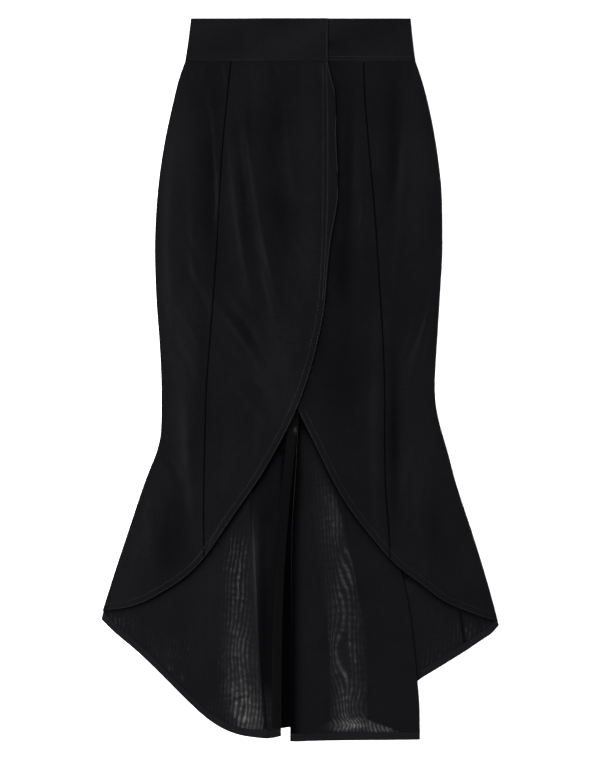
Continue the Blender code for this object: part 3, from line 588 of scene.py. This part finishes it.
def cloth_from(node, levels):
    """A finer copy of a solid: its triangles paired into cells, its rims kept, the rest rounded."""
    cells = bmesh.new()
    cells.from_mesh(nodes[node].data)
    bmesh.ops.remove_doubles(cells, verts=cells.verts[:], dist=0.005 * MM)
    bmesh.ops.join_triangles(
        cells, faces=cells.faces[:], angle_face_threshold=FLAT_PAIR, angle_shape_threshold=math.radians(100)
    )
    kept = cells.edges.layers.float.new("crease_edge")
    for edge in cells.edges:
        if len(edge.link_faces) == 2 and edge.calc_face_angle() > SHARP:
            edge[kept] = 1.0
    mesh = bpy.data.meshes.new(node + "_cells")
    cells.to_mesh(mesh)
    cells.free()
    piece = bpy.data.objects.new(node + "_cloth", mesh)
    bpy.context.scene.collection.objects.link(piece)
    finer = piece.modifiers.new("finer", "SUBSURF")
    finer.levels = levels
    finer.render_levels = levels
    bpy.context.view_layer.update()
    evaluated = piece.evaluated_get(bpy.context.evaluated_depsgraph_get())
    fine = bpy.data.meshes.new_from_object(evaluated)
    piece.modifiers.clear()
    piece.data = fine
    fine.name = node + "_cloth"
    fine.shade_smooth()
    fine.set_sharp_from_angle(angle=SHARP)
    return piece


def points_of(piece):
    co = np.zeros(len(piece.data.vertices) * 3)
    piece.data.vertices.foreach_get("co", co)
    return co.reshape(-1, 3)


def lift(piece, heights):
    """Moves the cloth's points up by these heights, in millimetres."""
    co = points_of(piece)
    co[:, 2] += heights * MM
    piece.data.vertices.foreach_set("co", co.ravel())
    piece.data.update()


FAR = 999.0
PLAIN = {
    "shade": 0.0, "tone": 1.0, "pull": 0.0, "row_away": FAR, "row_along": 0.0, "seam_away": FAR,
    "sheer": 0.0, "phase": 0.0,
}


def paint(piece, **values):
    """Keeps the numbers for each point that the cloth's material reads."""
    count = len(piece.data.vertices)
    for name, plain in PLAIN.items():
        given = np.broadcast_to(np.asarray(values.get(name, plain), dtype=np.float32), (count,))
        layer = piece.data.attributes.new(name, "FLOAT", "POINT")
        layer.data.foreach_set("value", np.ascontiguousarray(given))


def dress(piece, node, material):
    """The piece takes its solid's place."""
    piece.data.materials.clear()
    piece.data.materials.append(material)
    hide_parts(node)
    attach(piece, "root")


def side_distance(x, d):
    """Rough distance inside the skirt's two side seams."""
    rows = np.array([0.0, 74.0, 205.0, 354.0, 577.0, 664.0, 782.0, 940.0, 1119.0])
    left = np.array([-169.0, -182.0, -212.0, -225.0, -214.0, -218.0, -262.0, -308.0, -308.0])
    right = np.array([171.0, 182.0, 212.0, 221.0, 208.5, 227.0, 262.0, 308.0, 308.0])
    return np.minimum(x - np.interp(d, rows, left), np.interp(d, rows, right) - x)


TONE_SHADE = 0.75  # how dark a full dark patch is
CALM_SIDE = 22.0  # creases die out over this distance from the side seams
CALM_WAIST = 14.0  # and over this distance below the band
TROUGH_ROOM = 0.45  # a trough takes at most this share of the room above the back


def front_heights(x, d, edge):
    """Creases, and the slow wander that a stitched edge draws."""
    inside = side_distance(x, d)
    calm = smooth(inside / CALM_SIDE) * smooth((d - 66.0) / CALM_WAIST)
    heights = crease_height(FRONT_CREASES, x, d) * calm
    room = np.interp(d, [67.0, 130.0, 300.0, 480.0, 640.0], [0.4, 1.0, 1.8, 2.6, 3.7])
    heights = np.maximum(heights, -TROUGH_ROOM * (0.3 + room * smooth(inside / 62.0)) - 0.25)
    away, along = from_path(x, d, edge)
    wander = np.sin(along / 23.0) + 0.6 * np.sin(along / 9.7 + 1.3)
    return heights + 0.15 * np.exp(-((away / 14.0) ** 2)) * wander * calm


def dress_fronts(cloth):
    """The four panels of the two wrapped fronts."""
    plan = (
        ("front_over_centre", over_edge, over_row, over_seam, -1.0),
        ("front_over_side", over_edge, over_row, over_seam, -1.0),
        ("front_under_centre", under_edge, under_row, under_seam, 1.0),
        ("front_under_side", under_edge, under_row, under_seam, 1.0),
    )
    for node, edge, row, seam, inner_side in plan:
        piece = cloth_from(node, LEVELS)
        x, d = across_down(points_of(piece))
        lift(piece, front_heights(x, d, edge))
        # Painted light and painted shade of the broad swells: light patches raise the colour through tone,
        # dark patches darken it through shade
        painted_light_and_shade = patches(FRONT_PAINTED_LIGHT_AND_SHADE, x, d)
        painted_shade_patches = TONE_SHADE * np.clip(-painted_light_and_shade, 0.0, 0.9)
        row_away, row_along = from_path(x, d, row)
        seam_away, _ = from_path(x, d, seam)
        fly_pull = np.exp(-(((d - 360.0) / 90.0) ** 2)) if inner_side < 0 else 0.0
        paint(
            piece,
            shade=1.0 - (1.0 - edge_shade(x, d, node)) * (1.0 - painted_shade_patches),
            tone=1.0 + np.clip(painted_light_and_shade, 0.0, 0.8),
            row_away=row_away * inner_side,
            row_along=row_along,
            seam_away=seam_away,
            pull=0.35 + 0.9 * fly_pull,
        )
        dress(piece, node, cloth)
        yield piece


def edge_shade(x, d, node):
    """Darker cloth in the fold beside the wrap edge, where little light reaches."""
    if not node.startswith("front_under"):
        return np.zeros(len(x))
    away, _ = from_path(x, d, over_edge)
    return 0.5 * np.exp(-np.clip(away, 0.0, None) / 8.0) * (away > -2.0)


def hem_shadow(x, d):
    """Darker where the fronts' hems stand over the tail."""
    left, _ = from_path(x, d, over_edge)
    right, _ = from_path(x, d, under_edge)
    from_left = np.where(x < 0, np.exp(-np.clip(left, 0.0, None) / 5.0), 0.0)
    from_right = np.where(x > -4.0, np.exp(-np.clip(-right, 0.0, None) / 5.0), 0.0)
    return np.maximum(from_left, from_right)


# How much light the tail lets through where it is one layer, and where it lies darker
LEFT_SHEER = (
    Patch(-90.0, 1056.0, 32.0, 60.0, 0.22),
    Patch(-66.0, 1096.0, 34.0, 32.0, 0.16),
    Patch(-98.0, 960.0, 26.0, 84.0, 0.20),
    Patch(-96.0, 850.0, 22.0, 70.0, 0.14),
    Patch(-60.0, 1010.0, 12.0, 60.0, 0.06),
    Patch(-50.0, 740.0, 18.0, 60.0, 0.05),
    Patch(-184.0, 1022.0, 10.0, 7.0, 0.14),
    Patch(-202.0, 1008.0, 8.0, 6.0, 0.12),
    Patch(-150.0, 1070.0, 16.0, 14.0, 0.10),
    Patch(-200.0, 985.0, 46.0, 34.0, 0.07),
    Patch(-285.0, 935.0, 18.0, 12.0, 0.12),
    Patch(-250.0, 955.0, 30.0, 24.0, 0.05),
    Patch(-138.0, 930.0, 9.0, 110.0, -0.10),
)
FLAP_SHEER = (
    Patch(76.0, 1070.0, 34.0, 40.0, 0.17),
    Patch(72.0, 1000.0, 34.0, 70.0, 0.14),
    Patch(66.0, 880.0, 36.0, 110.0, 0.17),
    Patch(46.0, 740.0, 28.0, 80.0, 0.15),
    Patch(60.0, 1098.0, 26.0, 7.0, 0.16),
    Patch(96.0, 1093.0, 32.0, 12.0, 0.20),
    Patch(140.0, 1101.0, 30.0, 6.0, 0.40),
)
RIGHT_SHEER = (
    Patch(216.0, 985.0, 30.0, 34.0, 0.10),
    Patch(262.0, 950.0, 26.0, 20.0, 0.10),
)
BASE_SHEER = 0.15
SHEER_GAIN = 1.5
SHEER_MOST = 0.75
HEM_SHADE = 0.85  # how dark the tail is right under the fronts' hems
TAIL_SHOWS = 560.0

# Where the moiré's lines curl round; strength is in turns of the pattern
LEFT_SWIRLS = (
    Patch(-92.0, 980.0, 22.0, 34.0, 1.2),
    Patch(-74.0, 1064.0, 20.0, 40.0, -0.9),
    Patch(-110.0, 880.0, 18.0, 50.0, 0.8),
    Patch(-180.0, 1010.0, 30.0, 22.0, 1.6),
    Patch(-250.0, 940.0, 40.0, 24.0, -1.2),
)
FLAP_SWIRLS = (
    Patch(56.0, 991.0, 13.0, 42.0, 2.6),
    Patch(82.0, 900.0, 18.0, 60.0, -1.3),
    Patch(60.0, 800.0, 16.0, 70.0, 1.2),
    Patch(90.0, 1070.0, 22.0, 26.0, 1.8),
    Patch(74.0, 1094.0, 30.0, 9.0, -1.6),
    Patch(130.0, 1096.0, 40.0, 10.0, 1.2),
)
LEFT_PITCH = 6.0
FLAP_PITCH = 6.4
LEFT_LEAN = -0.07  # the left lines lean a little as they run down


def light_through(table, x, d):
    """How much light a single layer lets through at these places."""
    return np.clip(BASE_SHEER + SHEER_GAIN * patches(table, x, d), 0.0, SHEER_MOST)


def moire_phase(x, d, pitch, lean, swirls):
    """Where in its beat the moiré is, in radians."""
    return 2 * math.pi * ((x - lean * d) / pitch + patches(swirls, x, d))


ALLOWANCE = 14.0  # the godet's seam allowance, left wide and pressed to the left


def valley(x, d):
    """The deep fold beside the godet, where layers lie on each other and no light comes through; dress_back
    uses it as painted shade that darkens the colour there.
    """
    centre = -22.0 + 16.0 * smooth((700.0 - d) / 110.0)
    return np.exp(-(((x - centre) / 11.0) ** 2)) * smooth((d - 575.0) / 30.0)


def dress_back(cloth):
    """The four back panels: plain underneath the fronts, sheer in the tail."""
    plan = (
        ("back_left_side", LEFT_SHEER, LEFT_SWIRLS, LEFT_PITCH),
        ("back_left_centre", LEFT_SHEER, LEFT_SWIRLS, LEFT_PITCH),
        ("back_right_centre", RIGHT_SHEER, (), FLAP_PITCH),
        ("back_right_side", RIGHT_SHEER, (), FLAP_PITCH),
    )
    for node, table, swirls, pitch in plan:
        piece = cloth_from(node, LEVELS - 1)
        x, d = across_down(points_of(piece))
        calm = smooth(side_distance(x, d) / 24.0)
        seam = np.where(x < 0, -29.5, 110.0)
        tail_calm = calm * smooth(np.abs(x - seam) / 16.0)
        heights = crease_height(BACK_CREASES, x, d) * tail_calm
        heights += crease_height(UNDERSIDE_CREASES, x, d) * calm
        lift(piece, heights)
        # Painted shade: the deep fold and the stretch beside the godet are darkened in the colour
        dark_side = beside_godet(x, d) * (0.35 + 0.3 * smooth((d - 800.0) / 120.0))
        deep = np.maximum(0.95 * valley(x, d), dark_side)
        paint(
            piece,
            shade=np.clip(HEM_SHADE * hem_shadow(x, d) + deep, 0.0, 0.96),
            sheer=light_through(table, x, d) * smooth((d - TAIL_SHOWS) / 30.0),
            phase=moire_phase(x, d, pitch, LEFT_LEAN, swirls),
        )
        dress(piece, node, cloth)
        yield piece


def beside_godet(x, d):
    """1 on the stretch between the left princess seam and the godet, 0 elsewhere and near the hem."""
    seam = np.interp(d, [640.0, 819.0, 985.0, 1115.0], [-81.4, -72.2, -63.6, -52.0])
    return smooth((x - seam + 1.0) / 2.0) * (x < 0) * smooth((1062.0 - d) / 40.0)


def left_fold(d):
    """The godet's left fold line."""
    rows = [576.0, 612.0, 698.0, 793.0, 901.0, 1119.0]
    return np.interp(d, rows, [-2.6, -3.1, -6.5, -12.4, -13.6, -14.0])


def dress_godet(cloth):
    """The tail's inset: dark in its left fold, sheer in the middle of its flap."""
    piece = cloth_from("tail_godet", LEVELS - 1)
    x, d = across_down(points_of(piece))
    from_fold = x - left_fold(d)
    fold_shade = np.where(from_fold > 0, 0.92 * np.exp(-((from_fold / 13.0) ** 2)), 0.97)
    paint(
        piece,
        shade=np.clip(fold_shade + HEM_SHADE * hem_shadow(x, d), 0.0, 0.95),
        sheer=light_through(FLAP_SHEER, x, d) * (from_fold > -1.0),
        phase=moire_phase(x, d, FLAP_PITCH, 0.10, FLAP_SWIRLS),
    )
    dress(piece, "tail_godet", cloth)
    return piece


BAND_DOWN = 66.5
BAND_ROW = 2.6  # the band's lower stitched row, above its edge
BAND_CREASES = (
    Crease(-40.0, 2.0, -30.0, 60.0, 3.0, 5.0, 7.0, 0.25),
    Crease(-104.0, 4.0, -100.0, 62.0, 2.0, 8.0, 9.0, 0.3),
    Crease(-70.0, 10.0, -44.0, 58.0, 2.0, 5.0, 9.0, -0.2),
    Crease(22.0, 0.0, 24.0, 64.0, 0.0, 6.0, 8.0, 0.3),
    Crease(104.0, 4.0, 110.0, 60.0, 1.0, 9.0, 9.0, 0.25),
    Crease(-142.0, 6.0, -138.0, 60.0, 1.0, 7.0, 7.0, 0.25),
)


def dress_band(node, cloth):
    """One stretch of the waistband."""
    piece = cloth_from(node, LEVELS)
    x, d = across_down(points_of(piece))
    if node != "waistband_back":
        lift(piece, crease_height(BAND_CREASES, x, d) * smooth(side_distance(x, d) / 20.0))
    shade = np.zeros(len(x))
    if node == "waistband_front_under":
        shade = 0.5 * np.exp(-np.clip(x - 43.4, 0.0, None) / 6.0) * (x > 40.0)
    paint(
        piece,
        shade=shade,
        row_away=BAND_DOWN - d - BAND_ROW,
        row_along=x,
        pull=0.3,
        tone=np.clip(1.0 + 0.12 * np.sin(x / 31.0 + d / 17.0), 0.8, 1.2),
    )
    dress(piece, node, cloth)
    return piece


def dress_facing(node, cloth):
    """A hem facing keeps its solid's form and gets finer."""
    piece = cloth_from(node, LEVELS - 1)
    paint(piece)
    dress(piece, node, cloth)
    return piece


# Strips and stitches laid on the cloth

def ground_of(pieces):
    """What lies under a point of the pattern: the cloth's top there, and which way it faces."""
    trees = []
    for piece in pieces:
        faces = [tuple(face.vertices) for face in piece.data.polygons]
        trees.append(BVHTree.FromPolygons([vert.co.copy() for vert in piece.data.vertices], faces))

    def read(across, down):
        start = Vector((across * MM, (HALF_LENGTH - down) * MM, 0.1))
        best = None
        for tree in trees:
            place, normal, _, _ = tree.ray_cast(start, Vector((0.0, 0.0, -1.0)))
            if place and (best is None or place.z > best[0].z):
                best = (place, normal)
        return best

    return read


STRIP_RISE = 0.12
STRIP_WALL = 0.35


def lay_strip(name, path, near, far, ground, cloth, shade=0.0):
    """A pressed seam allowance: a thin strip between two distances from its seam."""
    columns = 4
    lines = [beside(path, near + (far - near) * k / columns) for k in range(columns + 1)]
    strip = bmesh.new()
    bmesh.ops.create_grid(strip, x_segments=columns, y_segments=len(path) - 1, size=0.5)
    for vert in strip.verts:
        column = round((0.5 + vert.co.x) * columns)
        row = round((0.5 - vert.co.y) * (len(path) - 1))
        across, down = lines[column][row]
        found = ground(across, down)
        height = found[0].z if found else 0.0
        vert.co = (across * MM, (HALF_LENGTH - down) * MM, height + STRIP_RISE * MM)
    grown = bmesh.ops.extrude_face_region(strip, geom=strip.faces[:])
    for vert in grown["geom"]:
        if isinstance(vert, bmesh.types.BMVert):
            vert.co.z += STRIP_WALL * MM
    bmesh.ops.recalc_face_normals(strip, faces=strip.faces[:])
    mesh = bpy.data.meshes.new(name)
    strip.to_mesh(mesh)
    strip.free()
    mesh.shade_smooth()
    mesh.set_sharp_from_angle(angle=SHARP)
    piece = bpy.data.objects.new(name, mesh)
    bpy.context.scene.collection.objects.link(piece)
    mesh.materials.append(cloth)
    paint(piece, shade=shade)
    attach(piece, "root")
    return piece


STITCH_PITCH = 3.4
STITCH_LONG = 2.7
STITCH_WIDE = 0.55
STITCH_HIGH = 0.42
STITCH_RISE = 0.08


def sew(name, paths, ground, thread, pitch=STITCH_PITCH, long=STITCH_LONG):
    """Rows of stitches as one joined mesh, each a grain of thread that lies on the cloth."""
    rows = bmesh.new()
    size = Matrix.Diagonal((long / 2 * MM, STITCH_WIDE / 2 * MM, STITCH_HIGH / 2 * MM, 1.0))
    for path in paths:
        lengths = np.concatenate([[0.0], np.cumsum(np.hypot(*np.diff(path, axis=0).T))])
        for at in np.arange(pitch / 2, lengths[-1], pitch):
            across, down = np.interp(at, lengths, path[:, 0]), np.interp(at, lengths, path[:, 1])
            k = min(int(np.searchsorted(lengths, at)), len(path) - 1)
            run = path[k] - path[k - 1]
            found = ground(across, down)
            if not found:
                continue
            up = found[1] if found[1].z > 0 else Vector((0.0, 0.0, 1.0))
            along = Vector((run[0], -run[1], 0.0)).normalized()
            along = (along - up * along.dot(up)).normalized()
            turn = Matrix((along, up.cross(along), up)).transposed().to_4x4()
            place = Matrix.Translation(found[0] + up * STITCH_RISE * MM)
            grain = place @ turn @ size
            bmesh.ops.create_uvsphere(rows, u_segments=6, v_segments=4, radius=1.0, matrix=grain)
    mesh = bpy.data.meshes.new(name)
    rows.to_mesh(mesh)
    rows.free()
    mesh.shade_smooth()
    piece = bpy.data.objects.new(name, mesh)
    bpy.context.scene.collection.objects.link(piece)
    mesh.materials.append(thread)
    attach(piece, "root")
    return piece


# The cut of each piece: width and length in millimetres, area in square metres

FLOOR = ("ground",)
ON_BACK = ("back_left_side", "back_left_centre", "back_right_centre", "back_right_side")
CUTS = {
    "front_over_centre": Cut(208.0, 768.0, 0.110, ("front_under_centre", *ON_BACK)),
    "front_over_side": Cut(199.0, 852.0, 0.076, ON_BACK),
    "front_under_centre": Cut(197.0, 770.0, 0.105, ON_BACK),
    "front_under_side": Cut(208.0, 868.0, 0.086, ON_BACK),
    "back_left_side": Cut(256.0, 1048.0, 0.154, FLOOR),
    "back_left_centre": Cut(93.0, 1048.0, 0.074, FLOOR),
    "back_right_centre": Cut(256.0, 1014.0, 0.114, FLOOR),
    "back_right_side": Cut(219.0, 913.0, 0.079, FLOOR),
    "tail_godet": Cut(421.0, 543.0, 0.163, FLOOR),
    "waistband_back": Cut(357.0, 66.5, 0.0237, FLOOR),
    "waistband_front_under": Cut(222.0, 66.5, 0.0147, ("waistband_back",)),
    "waistband_front_over": Cut(222.0, 66.5, 0.0147, ("waistband_back", "waistband_front_under")),
    "hem_facing_left": Cut(325.0, 12.0, 0.0038, ("back_left_side", "back_left_centre")),
    "hem_facing_right": Cut(142.0, 12.0, 0.0017, ("back_right_centre", "back_right_side")),
    "hem_facing_godet": Cut(208.0, 12.0, 0.0025, ("tail_godet",)),
}


def declare(dressed, trims):
    """Reads each piece's cut, what it rests on and its stitches, and keeps nothing."""
    for node, cut in CUTS.items():
        min(cut.area, cut.width * cut.length * MM * MM)
        [name if name == "ground" else dressed[name].name for name in cut.rests_on]
        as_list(trims.get(node, []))


def straight(across0, down0, across1, down1):
    """A straight row between two places of the pattern."""
    return smooth_path((Edge(down0, across0), Edge(down1, across1)))


def main():
    place_camera()
    light_studio()
    lay_floor()
    shell = black_cloth("crisp_black_cloth", BLACK, 0.42, 0.011)
    sheer = black_cloth("sheer_black_cloth", SHEER_BLACK, 0.45, 0.009, crumple=0.7, sheer=True)
    band = black_cloth("stiffened_band_cloth", BAND_BLACK, 0.44, 0.009, crumple=0.5)
    facing = black_cloth("hem_facing_cloth", FACING_BLACK, 0.5, 0.024, crumple=0.2)
    thread = thread_of("black_thread", THREAD_BLACK)

    dressed = {}
    for group in (dress_fronts(shell), dress_back(sheer), [dress_godet(sheer)]):
        for piece in group:
            dressed[piece.name.removesuffix("_cloth")] = piece
    for node in ("waistband_back", "waistband_front_under", "waistband_front_over"):
        dressed[node] = dress_band(node, band)
    for node in ("hem_facing_left", "hem_facing_right", "hem_facing_godet"):
        dressed[node] = dress_facing(node, facing)

    back_ground = ground_of([dressed[node] for node in ON_BACK] + [dressed["tail_godet"]])
    left_seam, right_seam = smooth_path(BACK_LEFT_SEAM, 6.0), smooth_path(BACK_RIGHT_SEAM, 6.0)
    godet_seam = smooth_path(GODET_LEFT_SEAM, 6.0)
    allowances = {
        "back_left_side": lay_strip(
            "back_left_seam_allowance", left_seam, -2.4, 2.0, back_ground, facing, 0.7
        ),
        "back_right_side": lay_strip(
            "back_right_seam_allowance", right_seam, -2.0, 2.0, back_ground, facing, 0.7
        ),
        # A real seam allowance; its shade value is painted shade of the dark valley beside the godet
        "back_left_centre": lay_strip(
            "godet_seam_allowance", godet_seam, -ALLOWANCE, 0.9, back_ground, facing, 0.6
        ),
    }

    over_ground = ground_of([dressed["front_over_centre"], dressed["front_over_side"]])
    under_ground = ground_of([dressed["front_under_centre"], dressed["front_under_side"]])
    band_ground = ground_of([dressed["waistband_front_over"], dressed["waistband_front_under"]])
    stitches = {
        "front_over_centre": [
            sew(
                "fly_stitches", [smooth_path(FLY_INNER), smooth_path(FLY_OUTER)], over_ground, thread
            ),
            sew("over_hem_stitches", [over_hem_row, beside(over_edge, -1.6)], over_ground, thread),
        ],
        "front_under_centre": [
            sew("under_hem_stitches", [under_row, beside(under_edge, 1.6)], under_ground, thread),
        ],
        "waistband_front_over": [
            sew(
                "waistband_stitches",
                [straight(-172.0, 63.9, 43.0, 63.9), straight(44.0, 63.9, 174.0, 63.9)]
                + [straight(44.0, 59.6, 173.0, 59.6), straight(41.6, 2.0, 41.6, 64.0)],
                band_ground, thread,
            ),
        ],
    }
    declare(dressed, {**stitches, **{node: [piece] for node, piece in allowances.items()}})


main()
